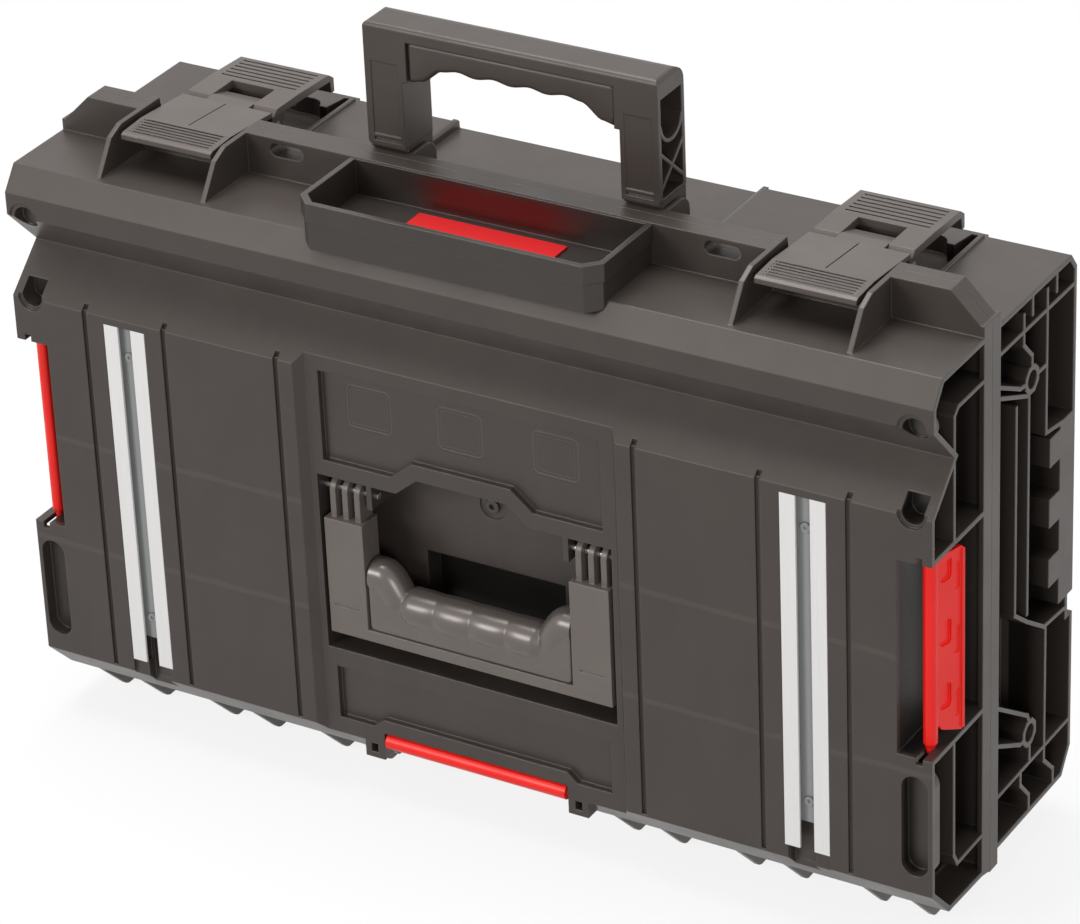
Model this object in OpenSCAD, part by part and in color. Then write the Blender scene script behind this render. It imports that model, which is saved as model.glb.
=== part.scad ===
// Hard tool case: hinged lid, two pull latches, folding handles on top and in the lid.
// Drawn standing on its hinge side, lid towards -Y, in millimetres.
// Inside the modules Y = 0 is the lid's face and Z = 0 its lower edge; placed() moves that
// to the frame whose origin is the bottom centre of the box round the case.

/* [Case] */
// Width over the seam band
case_w = 585; // [540:1:630]
// Depth from the lid's face to the rear feet
case_d = 190; // [186:1:200]
// Width of the base behind the seam band
base_w = 578; // [560:1:584]
// Rear face of the base
rear_y = 182.5; // [176:0.5:184]
// Height of the hinge axis and feet below the lid's face edge
foot_drop = 44; // [42:0.5:50]
// Top of the base's flat shell
shell_top = 309.3; // [306:0.1:311]
// Thickness of the moulded walls
wall = 3; // [2.4:0.1:3.4]
// Thickness of the stiffening ribs
rib_t = 2.4; // [1.6:0.1:3]
// Clearance left between pieces that move past one another
gap = 0.3; // [0.2:0.05:0.5]

/* [Seam band] */
// Front edge of the band on the lid
band_front = 61.3; // [58:0.1:64]
// Plane where lid and base meet
seam_y = 71; // [69:0.1:73]
// Rear edge of the band on the base
band_rear = 81; // [79:0.1:84]
// Top of the raised wall above the seam
wall_top = 337.5; // [334:0.1:341]
// Depth of the raised wall's part on the base
wall_back = 7.5; // [6:0.1:9]

/* [Lid profile] */
// Height of the flat face
face_h = 235; // [228:0.5:240]
// Depth of the hand groove along the lid
groove_y = 26.6; // [22:0.1:30]
// Height of the groove's bottom line
groove_z = 259.6; // [255:0.1:264]
// Height where the nose starts
nose_z = 285.5; // [282:0.1:288]
// Height of the nose's flat front
nose_h = 13.8; // [10:0.1:16]
// How far the nose stands behind the face
nose_y = 2; // [0.5:0.1:5]
// Start of the ledge behind the nose bevel
ledge_y = 12.5; // [9:0.1:16]
// Height of the ledge
ledge_z = 313.3; // [310:0.1:316]
// Depth of the bottom bevel
heel_y = 20.5; // [16:0.1:24]
// Drop of the bottom bevel
heel_drop = 21; // [18:0.1:23]

/* [Face] */
// Width of one face groove
flute_w = 3.2; // [2:0.1:4.5]
// Depth of the face grooves
flute_d = 2; // [1:0.1:2.2]
// Places of the face grooves from the centre
flute_x = [114, 189.5, 243.3];
// Half width of the recessed centre field
field_x = 98.4; // [97.8:0.1:102]
// Depth of the recessed centre field
field_y = 6; // [4:0.1:8]
// Half width of the label recess and the lower panel
label_x = 90.2; // [84:0.1:93]
// Depth of the label recess and the lower panel
label_d = 4; // [2:0.1:5]
// Top of the label recess
label_z = 231; // [225:0.5:233]
// Width of the stepped ridge under the label recess
ridge_w = 10; // [8:0.1:12]

/* [Rails] */
// Inner edge of a rail from the centre
rail_x = 202.6; // [198:0.1:206]
// Width of a rail
rail_w = 27.6; // [24:0.1:30]
// Width of a rail's slot
rail_slot = 8.8; // [7:0.1:11]
// Bottom of the rails
rail_z = 8.4; // [6:0.1:12]
// Length of the rails
rail_h = 222; // [210:1:224]
// Depth of a rail's profile
rail_d = 6; // [5:0.1:7]

/* [Lid handle] */
// Half width of the handle recess
well_x = 95.1; // [94:0.1:97]
// Bottom of the handle recess
well_z = 51; // [47:0.5:54]
// Top of the handle recess at its sides
well_top = 164; // [162:0.1:168]
// Depth of the handle recess
well_d = 38.5; // [36:0.5:42]
// Half width of the lid handle
lidgrip_x = 92.3; // [90:0.1:93]
// Width of one leg of the lid handle
lidleg_w = 25.1; // [22:0.1:26]
// Lower edge of the lid handle
lidgrip_z = 61.8; // [58:0.1:64]
// Height of the lid handle's hinge
lidpin_z = 153; // [151:0.1:155]
// Depth of the lid handle's hinge behind the face
lidpin_y = 16; // [15.4:0.1:18]
// Diameter of the grip bar
bar_d = 23; // [19:0.5:24]

/* [Carry handle] */
// Half width of the carry handle
carry_x = 92.5; // [89:0.1:92.8]
// Width of one leg of the carry handle
carryleg_w = 23.9; // [21:0.1:26]
// Height of the carry handle's top edge
carry_top = 414; // [404:0.5:424]
// Depth of the carry handle
carry_d = 29; // [26:0.5:30]
// Height of the carry handle's hinge
carrypin_z = 321.5; // [321:0.1:323]
// Diameter of the round foot on each leg
carryfoot_d = 28.4; // [25:0.1:29]

/* [Latches] */
// Centre of a latch from the case's centre
latch_x = 201.6; // [196:0.1:206]
// Width of a latch
latch_w = 60.4; // [54:0.1:62]
// Free width between the cheeks beside a latch
cheek_gap = 67.4; // [66:0.1:70]
// Thickness of the cheeks
cheek_t = 3; // [2.4:0.1:4]
// Front edge of the clip
clip_y = 34.5; // [30:0.1:38]
// Top of the clip behind its grooves
clip_z = 336; // [334.5:0.1:337]
// Rear edge of the clip's plate
clip_rear = 97; // [95:0.1:98]
// Half width of the clip's tongue
tongue_x = 14.4; // [12:0.1:14.8]
// Rear edge of the lever
lever_rear = 161.7; // [158:0.1:166]
// Depth of the trough that holds a latch
trough_d = 11; // [9:0.1:13]

/* [Connectors] */
// Diameter of a red side connector's rod
rod_d = 8; // [7:0.1:10]
// Floor of the side connector's pocket
nook_z = 87; // [80:0.5:92]
// Ceiling of the side connector's pocket
nook_top = 207; // [200:0.5:212]
// Half length of the red bar under the lid
barlock_x = 59.5; // [52:0.1:61]

/* [Hinges] */
// Places of the hinge centres from the case's centre
hinge_x = [98.5, 176.5, 256];
// Distance between the two ears of a hinge
ear_gap = 27; // [22:0.5:30]
// Thickness of an ear
ear_t = 3; // [2.4:0.1:4]
// Outside diameter of a hinge knuckle
knuckle_d = 14; // [12:0.1:15]
// Diameter of the hinge pins
pin_d = 5; // [4:0.1:6]

/* [Hidden] */
$fn = 48;

shell_grey = [0.27, 0.255, 0.245];
latch_grey = [0.42, 0.405, 0.4];
soft_grey = [0.37, 0.355, 0.35];
signal_red = [0.9, 0.13, 0.1];
rail_silver = [0.82, 0.83, 0.84];
strip_red = [0.75, 0.15, 0.15];
steel = [0.6, 0.6, 0.62];

eps = 0.01;
run_fit = 0.05;      // radial clearance of a pin that turns
seam_gap = 0.1;      // half the gap between lid and base
half_w = case_w / 2;
half_base = base_w / 2;
lid_back = seam_y - seam_gap;
base_front = seam_y + seam_gap;

// Hinge of the lid: knuckles stand on the floor under the seam
hinge_y = seam_y;
hinge_z = knuckle_d / 2 - foot_drop;
sole_z = -foot_drop;
lid_bottom = -22.5;
band_bottom = -25.5;
base_bottom = -20.8;

// End pockets of the lid and of the base
lid_inner = half_w - 24;
pocket_x = lid_inner + wall;
base_inner = half_base - 30;
lattice_x = base_inner + wall;

// Handle recess
well_mid = well_top + 11.5;
well_step = [29, 43];

// Raised wall
chamfer_x = 18;
wall_end = half_w - 1.5;

// Trough and latch hinges
trough_floor = shell_top - trough_d;
trough_end = 175;
cheek_in = cheek_gap / 2;
cheek_out = cheek_in + cheek_t;
lever_pin = [106, 321];
clip_pin = [115.5, 325];
latch_pin_d = 5;
clip_pin_d = 4;
plate_t = 4;
lever_front = clip_rear + 1.5;
lever_top = clip_z - 3;
window = [105.5, 124.5];
post_in = 19;
post_out = 24.5;
lug_t = 2.8;

// Carry handle's hinge, just behind the raised wall
wall_rear = base_front + wall_back;
carrypin_y = wall_rear + carryfoot_d / 2 + gap + 0.1;
carry_front = carrypin_y - 17.6;
carry_back = carry_front + carry_d;
carrypin_d = 8;
carry_field = shell_top - 6.2;

// Side connectors
rod_x = half_w - 7.7;
rod_y = 13.6;
tip_d = 5;

// Red bar under the lid
barlock_y = 9;
barlock_z = -4.7;
barlock_d = 9.5;

module placed() translate([0, -case_d / 2, foot_drop]) children();

module both() {
    children();
    mirror([1, 0, 0]) children();
}

// An outline in (Y, Z) drawn out from x0 to x1
module across(x0, x1) translate([x0, 0, 0]) rotate([90, 0, 90]) linear_extrude(x1 - x0) children();

// An outline in (X, Z) drawn out from y0 to y1
module facing(y0, y1) translate([0, y1, 0]) rotate([90, 0, 0]) linear_extrude(y1 - y0) children();

// An outline in (X, Y) drawn out from z0 to z1
module upright(z0, z1) translate([0, 0, z0]) linear_extrude(z1 - z0) children();

module box(x, y, z) translate([x[0], y[0], z[0]]) cube([x[1] - x[0], y[1] - y[0], z[1] - z[0]]);

module span(a, b) translate([a[0], b[0]]) square([a[1] - a[0], b[1] - b[0]]);

// A bar of round section along X
module axle(x0, x1, at, d) translate([x0, at[0], at[1]]) rotate([0, 90, 0]) cylinder(d = d, h = x1 - x0);

// An upright slot with round ends
module obround(w, z0, z1) {
    span([-w / 2, w / 2], [z0 + w / 2, z1 - w / 2]);
    translate([0, z0 + w / 2]) circle(d = w);
    translate([0, z1 - w / 2]) circle(d = w);
}

// A rectangle with round corners
module soft_span(a, b, r) {
    span([a[0] + r, a[1] - r], b);
    span(a, [b[0] + r, b[1] - r]);
    for (x = [a[0] + r, a[1] - r], y = [b[0] + r, b[1] - r]) translate([x, y]) circle(r = r);
}

// A thin rib that follows a line of points
module rib_line(points, t = rib_t)
    for (i = [0:len(points) - 2]) {
        a = points[i];
        b = points[i + 1];
        translate(a) rotate(atan2(b.y - a.y, b.x - a.x)) translate([-t / 2, -t / 2])
            square([norm(b - a) + t, t]);
    }

function unit(v) = v / norm(v);

// The same outline moved inwards by d, for points that run clockwise
function inset(points, d) = [
    for (i = [0:len(points) - 1])
        let (n = len(points), b = points[i], u = unit(b - points[(i + n - 1) % n]),
             v = unit(points[(i + 1) % n] - b), nu = [u.y, -u.x], nv = [v.y, -v.x])
        b + (nu + nv) * d / (1 + nu * nv)];

// ---- Lid ----

lid_outline = [
    [0, 0], [0, face_h], [groove_y, groove_z], [nose_y, nose_z], [nose_y, nose_z + nose_h],
    [ledge_y, ledge_z], [lid_back, ledge_z], [lid_back, lid_bottom - 2], [band_front, lid_bottom],
    [heel_y, -heel_drop]];

module lid_section() polygon(lid_outline);

module lid_hollow() {
    polygon(inset(lid_outline, wall));
    span([band_front - 5, lid_back + 1], [lid_bottom + wall, ledge_z - wall]);
}

// Open pocket at each end of the lid, up to the seam band
module end_hollow() intersection() {
    polygon(inset(lid_outline, wall));
    span([-1, lid_back - 4], [-heel_drop - 5, ledge_z]);
}

module end_ribs() intersection() {
    lid_section();
    union() {
        span([0, lid_back], [nook_z - wall, nook_z]);
        span([0, lid_back], [nook_top, nook_top + wall]);
        rib_line([[groove_y, nook_top], [groove_y, 284], [31.4, 288], [lid_back - 2, 288]]);
        rib_line([[groove_y, nook_z - 4], [groove_y, 12], [31, 4.5], [lid_back - 2, 4.5]]);
    }
}

module seam_band_lid() difference() {
    across(-half_w, half_w) polygon([
        [band_front, lid_bottom], [band_front, wall_top - 17.5], [lid_back, wall_top - 17.5],
        [lid_back, band_bottom + 1]]);
    across(-lid_inner, lid_inner) span([0, case_d], [lid_bottom + wall, ledge_z - wall]);
    both() across(pocket_x, half_w - wall) span([0, lid_back - 4], [lid_bottom + wall, ledge_z - wall]);
}

// Raised wall over the seam, chamfered at its ends, with padlock slots
module raised_wall(y0, y1, low) difference() {
    facing(y0, y1) polygon([
        [-wall_end, low], [-wall_end, wall_top - chamfer_x], [-wall_end + chamfer_x, wall_top],
        [wall_end - chamfer_x, wall_top], [wall_end, wall_top - chamfer_x], [wall_end, low]]);
    both() translate([138.2, y0 - 1, 330.6]) rotate([-90, 90, 0]) linear_extrude(y1 - y0 + 2)
        obround(8, -11.2, 11.2);
    both() box([latch_x - cheek_in, latch_x + cheek_in], [y0 - 1, y1 + 1], [ledge_z + 10, wall_top + 1]);
}

module cheeks_lid() both() for (side = [-1, 1])
    translate([latch_x + side * (cheek_in + cheek_t / 2) - cheek_t / 2, 0, 0]) across(0, cheek_t)
        polygon([[15.8, ledge_z - 1], [30, 333], [40.3, wall_top], [lid_back, wall_top],
                 [lid_back, ledge_z - 1]]);

module hinge_ears() both() for (x = hinge_x, side = [-1, 1])
    translate([x + side * (ear_gap / 2 + ear_t / 2) - ear_t / 2, 0, 0]) across(0, ear_t) difference() {
        union() {
            polygon([[heel_y, 1 - heel_drop], [heel_y, -heel_drop], [42, -42.6], [45, sole_z],
                     [hinge_y, sole_z], [hinge_y, hinge_z], [lid_back - 1, lid_bottom],
                     [band_front, lid_bottom + 1]]);
            translate([hinge_y, hinge_z]) circle(d = knuckle_d);
        }
        translate([hinge_y, hinge_z]) circle(d = pin_d + 0.04);
    }

// Outline of the handle recess: its top edge steps up in the middle
module well_outline(grow = 0) polygon([
    [-well_x - grow, well_z - grow], [-well_x - grow, well_top + grow],
    [-well_step[1] - grow, well_top + grow], [-well_step[0] - grow, well_mid + grow],
    [well_step[0] + grow, well_mid + grow], [well_step[1] + grow, well_top + grow],
    [well_x + grow, well_top + grow], [well_x + grow, well_z - grow]]);

module label_outline() polygon([
    [-label_x, label_z], [label_x, label_z], [label_x, well_top + ridge_w],
    [well_step[1] + 3, well_top + ridge_w], [well_step[0] + 3, well_mid + ridge_w],
    [-well_step[0] - 3, well_mid + ridge_w], [-well_step[1] - 3, well_top + ridge_w],
    [-label_x, well_top + ridge_w]]);

panel_top = 39;
panel_low = 10.2;
panel_side = 4.5;
module panel_outline() polygon([
    [-label_x, panel_top], [label_x, panel_top], [label_x, panel_side], [67.6, panel_side],
    [61, panel_low], [-61, panel_low], [-67.6, panel_side], [-label_x, panel_side]]);

finger_x = 45.4;
finger_z = 110.5;
finger_d = 52;

// Blind recesses near the ends: a long one below, a scoop above it, a half round under the nose
end_mid = half_w - 10.5;
slot_r = 8;
scoop_r = 6.7;
scoop_z = face_h + 9;
module end_recesses(grow, depth) both() translate([end_mid, 0, 0]) {
    facing(-1, depth) obround(2 * (slot_r + grow), 11.3 - grow, 75 + grow);
    translate([-1.5, 0, 0]) {
        facing(-1, depth + 6) {
            translate([0, face_h + 1]) circle(r = scoop_r + grow);
            span([-scoop_r - grow, scoop_r + grow], [face_h + 1, scoop_z + grow]);
        }
        facing(-1, 2) translate([0, face_h + 1]) circle(r = scoop_r + 2);
    }
    translate([-1, 0, nose_z - 1]) {
        facing(-1, depth + 3) circle(r = scoop_r + 0.5 + grow);
        facing(-1, nose_y + 1.2) circle(r = scoop_r + 3.2);
    }
}

// Skin behind everything that is sunk into the face
module face_pans() {
    box([-field_x - 5, field_x + 5], [wall - 1, field_y + wall], [-6, 243]);
    box([-label_x - wall, label_x + wall], [wall, field_y + label_d + wall], [0, label_z + wall]);
    facing(wall, well_d + wall) well_outline(wall);
    box([-finger_x - wall, finger_x + wall], [wall, finger_d + wall], [well_z - wall, finger_z + wall]);
    box([-74, 74], [wall, 47], [-19, 2]);
    end_recesses(2, 10);
    both() box([rail_x - wall, rail_x + rail_w + wall], [1, rail_d + wall + 1], [-4, rail_z + rail_h + wall]);
}

module face_cuts() {
    upright(-30, 245) polygon([
        [-field_x - 5.37, -1], [-field_x, field_y], [field_x, field_y], [field_x + 5.37, -1]]);
    facing(0, field_y + label_d) {
        label_outline();
        panel_outline();
    }
    facing(0, well_d) well_outline();
    facing(well_d - 1, well_d + 1.2) translate([0, boss_z]) circle(d = 17);
    box([-finger_x, finger_x], [0, finger_d], [well_z, finger_z]);
    both() {
        for (x = flute_x) translate([x, 0, 0]) {
            facing(-1, flute_d) span([-flute_w / 2, flute_w / 2], [1.3, face_h + 0.5]);
            box([-flute_w / 2, flute_w / 2], [-1, flute_d + 2.2], [face_h + 0.4, face_h + 3.4]);
        }
        box([rail_x - gap, rail_x + rail_w + gap], [-1, rail_d], [rail_z, rail_z + rail_h]);
        box([rail_x + 2.3, rail_mid + rail_slot / 2], [-1, rail_d + 2], [-12, rail_entry]);
        box([rail_x + 2, rail_x + rail_w], [-1, flute_d], [-12, rail_z + 1]);
    }
    end_recesses(0, 8);
}

// Nook at each end for a side connector, open to the front and to the side
module nook() both() box([pocket_x, half_w + 1], [-1, band_front], [nook_z, nook_top]);

// Bores for the rod's tips, with a narrower slot in front that the tips are pressed in through
module nook_bores() both() translate([rod_x, rod_y, nook_z - wall - 1]) {
    tall = nook_top - nook_z + 2 * wall + 2;
    cylinder(d = tip_d + 2 * run_fit, h = tall);
    translate([-tip_d * 0.42, -rod_y - 1, 0]) cube([tip_d * 0.84, rod_y + 1, tall]);
}

// Channel under the heel for the red bar, and the lugs that carry it
module bar_channel() {
    box([-barlock_x - 1.2, barlock_x + 1.2], [-1, 44], [-30, 1.3]);
    axle(-70, 70, [barlock_y, barlock_z], 4 + 2 * run_fit);
    both() box([65.5, 70], [-1, 30], [-13.2, -7.4]);
}

module bar_lugs() both() box([barlock_x + 1.5, 74], [field_y - 1, 16], [-16.8, 2]);

// Ears inside the handle recess for the lid handle's pins
lidear_x = 62;
lidpin_d = 4;
module handle_ears() both() {
    box([lidear_x, lidear_x + 3.4], [lidpin_y - 6, well_d + 1], [lidpin_z - 7, well_top + 1]);
}

boss_z = 150.5;
module well_boss() difference() {
    translate([0, well_d + 1.6, boss_z]) rotate([90, 0, 0]) cylinder(d = 9, h = 3);
    translate([0, well_d + 2, boss_z]) rotate([90, 0, 0]) cylinder(d = 3.4, h = 6);
}

module lid_shell() color(shell_grey) placed() {
    difference() {
        union() {
            difference() {
                across(-half_w, half_w) lid_section();
                across(-lid_inner, lid_inner) lid_hollow();
                both() across(pocket_x, half_w + 1) end_hollow();
            }
            both() across(pocket_x - 1, half_w) end_ribs();
            seam_band_lid();
            raised_wall(band_front, lid_back, ledge_z - 1);
            cheeks_lid();
            hinge_ears();
            intersection() {
                across(-half_w, half_w) lid_section();
                face_pans();
            }
            bar_lugs();
        }
        face_cuts();
        nook();
        nook_bores();
        bar_channel();
        both() axle(lidear_x - 2, well_x + 4, [lidpin_y, lidpin_z], lidpin_d + 0.04);
    }
    well_boss();
    difference() {
        handle_ears();
        both() axle(lidear_x - 2, well_x + 4, [lidpin_y, lidpin_z], lidpin_d + 0.04);
    }
}

// ---- Rails on the lid's face ----

rail_floor = 1.6;
rail_lip = 1.5;
rail_channel = rail_w / 2 - 3.1;
rail_mid = rail_x + rail_w / 2;
rail_entry = rail_z + 15.6;
module rail() difference() {
    box([rail_x, rail_x + rail_w], [0, rail_d], [rail_z, rail_z + rail_h]);
    translate([rail_mid, 0, 0]) {
        box([-rail_slot / 2, rail_slot / 2], [-1, rail_lip + 1], [rail_z - 1, rail_z + rail_h + 1]);
        box([-rail_channel, rail_channel], [rail_lip, rail_d - rail_floor], [rail_z - 1, rail_z + rail_h + 1]);
        box([-rail_channel, rail_channel], [rail_lip, rail_d + 1], [rail_z - 1, rail_entry]);
    }
    rail_screw_holes();
}

screw_d = 3;
module rail_screw_holes() for (z = [rail_z + 30, rail_z + rail_h - 20])
    translate([rail_mid, rail_d + 1, z]) rotate([90, 0, 0]) cylinder(d = screw_d + 0.4, h = 4);

module rail_right() color(rail_silver) placed() rail();
module rail_left() color(rail_silver) placed() mirror([1, 0, 0]) rail();

module rail_screws() color(steel) placed() both() for (z = [rail_z + 30, rail_z + rail_h - 20])
    translate([rail_mid, rail_d - rail_floor, z]) rotate([90, 0, 0]) difference() {
        union() {
            cylinder(d = 6, h = 1.6);
            translate([0, 0, -rail_floor]) cylinder(d = screw_d, h = 2);
        }
        translate([0, 0, 0.8]) cylinder(d = 2.2, h = 1, $fn = 6);
    }

// ---- Tray on the ledge ----

tray_x = 95.5;
tray_top = 337;
tray_t = 3.4;
tray_floor = ledge_z + 2.2;
tray_lip = tray_top - 11;
tray_front = 0.6;
tray_foot = ledge_z - 4.6;
tray_corner = 8.5;
module tray_plan(x, y0, y1, c) polygon([
    [-x, y1], [-x, y0 + c], [-x + c, y0], [x - c, y0], [x, y0 + c], [x, y1]]);

module tray() color(shell_grey) placed() difference() {
    union() {
        upright(tray_foot, tray_lip) tray_plan(tray_x - 1.2, tray_front + 1, band_front, tray_corner - 0.5);
        upright(tray_lip, tray_top) tray_plan(tray_x, tray_front, band_front, tray_corner);
    }
    upright(tray_floor, tray_top + 1)
        tray_plan(tray_x - tray_t, tray_front + tray_t, band_front - 1.4, tray_corner - 1);
    // underside that sits on the ledge and its front bevel
    across(-tray_x, tray_x) polygon([
        [nose_y - (tray_foot - nose_z - nose_h), tray_foot - 1], [nose_y - 0.02, nose_z + nose_h - 1],
        [nose_y, nose_z + nose_h], [ledge_y, ledge_z], [band_front + 1, ledge_z], [band_front + 1, tray_foot - 1]]);
}

module tray_strip() color(strip_red) placed() box([-47, 47], [30, 53], [tray_floor, tray_floor + 1.2]);

// ---- Base ----

base_outline = [
    [base_front, base_bottom], [base_front, shell_top], [rear_y - 7, shell_top], [rear_y, shell_top - 9],
    [rear_y, -5.4], [rear_y - 11, base_bottom]];

module base_section() polygon(base_outline);

module base_hollow() {
    polygon(inset(base_outline, wall));
    span([base_front - 1, base_front + 5], [base_bottom + wall, shell_top - wall]);
}

// Rear edge of the end lattice: it steps in beside the smooth rear panel
module lattice_hollow() intersection() {
    polygon(inset(base_outline, wall));
    span([base_front + 4, rear_y], [base_bottom, shell_top]);
}

module octagon_boss(at, d, bore) translate(at) difference() {
    rotate(22.5) circle(d = d, $fn = 8);
    circle(d = bore);
}

// Stiffening lattice at each end of the base
module lattice() intersection() {
    base_section();
    difference() {
        union() {
            span([base_front, rear_y], [289, 289 + rib_t]);
            span([base_front, rear_y], [11.6, 11.6 + rib_t]);
            rib_line([[117, 300], [117, 282], [127.6, 271], [127.6, 262]]);
            rib_line([[127.6, 307], [127.6, 296]]);
            rib_line([[146, 302], [146, 214.5], [168, 211], [rear_y, 211]]);
            rib_line([[157.5, 307], [157.5, 296]]);
            rib_line([[base_front, 279], [113, 257.6], [122, 256.5]]);
            rib_line([[base_front, 271], [122, 249]]);
            rib_line([[134, 257], [146, 257]]);
            rib_line([[108.5, 248], [108.5, 119], [124, 107], [146, 92], [171, 90], [rear_y, 86]]);
            rib_line([[124, 248], [124, 112]]);
            rib_line([[148, 92], [148, 3], [160, -9], [160, base_bottom]]);
            rib_line([[base_front, 82], [126, 45], [128.5, 38]]);
            rib_line([[base_front, 55], [117, 31], [122, 31]]);
            rib_line([[129, 25], [129, 13]]);
            rib_line([[117.5, 13], [117.5, 3.7], [128.5, -8.5], [128.5, base_bottom]]);
            span([164, rear_y], [97, 211]);
            for (z = [123, 161, 199]) span([151, 165], [z - 9, z + 9]);
            span([173, rear_y], [82, 98]);
            octagon_boss([127.6, 256.5], 18, 0.1);
            octagon_boss([128.5, 32.5], 18, 0.1);
        }
        translate([127.6, 256.5]) circle(d = 11);
        translate([128.5, 32.5]) circle(d = 11);
    }
}

module seam_band_base() difference() {
    union() {
        across(-half_w, half_w) span([base_front, band_rear], [band_bottom, shell_top]);
        both() across(half_w - chamfer_x, half_w) span([base_front, band_rear], [0, wall_top - 17.5]);
    }
    across(-base_inner, base_inner) span([0, case_d], [base_bottom + wall, shell_top - wall]);
    both() across(lattice_x, half_w - wall) span([base_front + 4, case_d], [base_bottom + wall, shell_top - wall]);
}

module cheeks_base() both() for (side = [-1, 1])
    translate([latch_x + side * (cheek_in + cheek_t / 2) - cheek_t / 2, 0, 0]) across(0, cheek_t)
        polygon([[base_front, ledge_z - 1], [base_front, wall_top], [wall_rear, wall_top],
                 [wall_rear + 1.2, wall_top - 6], [wall_rear, wall_top - 8], [wall_rear, ledge_z - 6]]);

// Trough that holds a latch, with the posts for the lever's pins
module trough_pan() both() {
    box([latch_x - cheek_out, latch_x + cheek_out], [wall_rear - wall, trough_end + wall],
        [trough_floor - wall, shell_top]);
    facing(wall_rear - 1, trough_end - 1) for (side = [-1, 1])
        translate([latch_x + side * (cheek_in + 1), 0]) polygon([
            [-1.6, shell_top - 1], [-1.6, shell_top + 1.2], [-1, shell_top + 1.8], [1, shell_top + 1.8],
            [1.6, shell_top + 1.2], [1.6, shell_top - 1]]);
}

module trough_cut() both() difference() {
    box([latch_x - cheek_in, latch_x + cheek_in], [wall_rear, trough_end], [trough_floor, wall_top + 9]);
    // block under the lever's lip, with two horns that reach forward
    translate([latch_x, 0, 0]) upright(trough_floor - 1, shell_top) difference() {
        polygon([[-28.4, trough_end + 1], [-25.4, 159], [-20, 159], [20, 159], [25.4, 159], [28.4, trough_end + 1]]);
        span([-12, 12], [150, 166.5]);
        for (side = [-1, 1]) translate([side * 12, 157.5]) circle(r = 9);
    }
}

module lever_posts() both() for (side = [-1, 1])
    translate([latch_x + side * (post_in + post_out) / 2, 0, 0])
        translate([-(post_out - post_in) / 2, 0, 0]) across(0, post_out - post_in) difference() {
            union() {
                span([lever_pin.x - 4.5, lever_pin.x + 4.5], [trough_floor - 1, lever_pin.y]);
                translate(lever_pin) circle(d = 9);
            }
            translate(lever_pin) circle(d = latch_pin_d + 0.04);
        }

// Brackets behind the raised wall for the carry handle's pins
bracket_t = 2.4;
bracket_r = 9.5;
module carry_brackets() both() for (x = [carry_x + 0.4, carry_x - carryleg_w - 0.4 - bracket_t])
    across(x, x + bracket_t) difference() {
        union() {
            translate([carrypin_y, wall_top - bracket_r]) circle(r = bracket_r);
            span([wall_rear - 1, carrypin_y], [carry_field - 1, wall_top]);
            span([carrypin_y - 1, carrypin_y + bracket_r], [carry_field - 1, wall_top - bracket_r]);
        }
        translate([carrypin_y, carrypin_z]) circle(d = carrypin_d + 0.04);
    }

// Feet between the hinge ears: a knuckle in front, a flat runner behind
foot_w = ear_gap - 2 * gap;
foot_end = 150;
module base_feet() both() for (x = hinge_x) translate([x - foot_w / 2, 0, 0]) across(0, foot_w)
    difference() {
        union() {
            translate([hinge_y, hinge_z]) circle(d = knuckle_d);
            polygon([[hinge_y, sole_z], [foot_end, sole_z], [foot_end + 16, base_bottom + 1],
                     [base_front + 4, base_bottom + 1], [base_front + 4, band_bottom],
                     [hinge_y + 1, hinge_z + 6.5]]);
        }
        translate([hinge_y, hinge_z]) circle(d = pin_d + 2 * run_fit);
        span([hinge_y + 14, foot_end - 6], [sole_z + 4, base_bottom - 3]);
    }

// Feet on the back, for lying flat and for stacking
module back_feet() both() for (z = [34, 250]) box([170, 240], [rear_y - 1, case_d], [z, z + 26]);

module base_shell() color(shell_grey) placed() {
    difference() {
        union() {
            difference() {
                across(-half_base, half_base) base_section();
                across(-base_inner, base_inner) base_hollow();
                both() across(lattice_x, half_base + 1) lattice_hollow();
            }
            both() across(lattice_x - 1, half_base) lattice();
            seam_band_base();
            raised_wall(base_front, wall_rear, shell_top - 1);
            cheeks_base();
            trough_pan();
            box([-field_x - wall - 1, field_x + wall + 1], [base_front, rear_y - wall], [carry_field - wall, shell_top - 1]);
        }
        facing(wall_rear, rear_y + 1) {
            span([-field_x, field_x], [carry_field, wall_top]);
            both() polygon([
                [field_x - 1, shell_top - 3], [field_x + 0.3, shell_top - 1.5], [field_x + 1.6, shell_top - 0.5],
                [field_x + 3.4, shell_top], [field_x + 3.4, shell_top + 1], [field_x - 1, shell_top + 1]]);
        }
        trough_cut();
        both() box([lattice_x + 1, half_base + 1], [rear_y - 6.5, rear_y + 1], [83, 97]);
    }
    lever_posts();
    carry_brackets();
    base_feet();
    back_feet();
}

module hinge_pins() color(steel) placed() both() for (x = hinge_x)
    axle(x - ear_gap / 2 - ear_t, x + ear_gap / 2 + ear_t, [hinge_y, hinge_z], pin_d);

// ---- Carry handle ----

carryleg_in = carry_x - carryleg_w;
insert_x = carryleg_in - 3.4;
insert_top = carry_top - 8.4;
leg_low = wall_top + 2.5;

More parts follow.
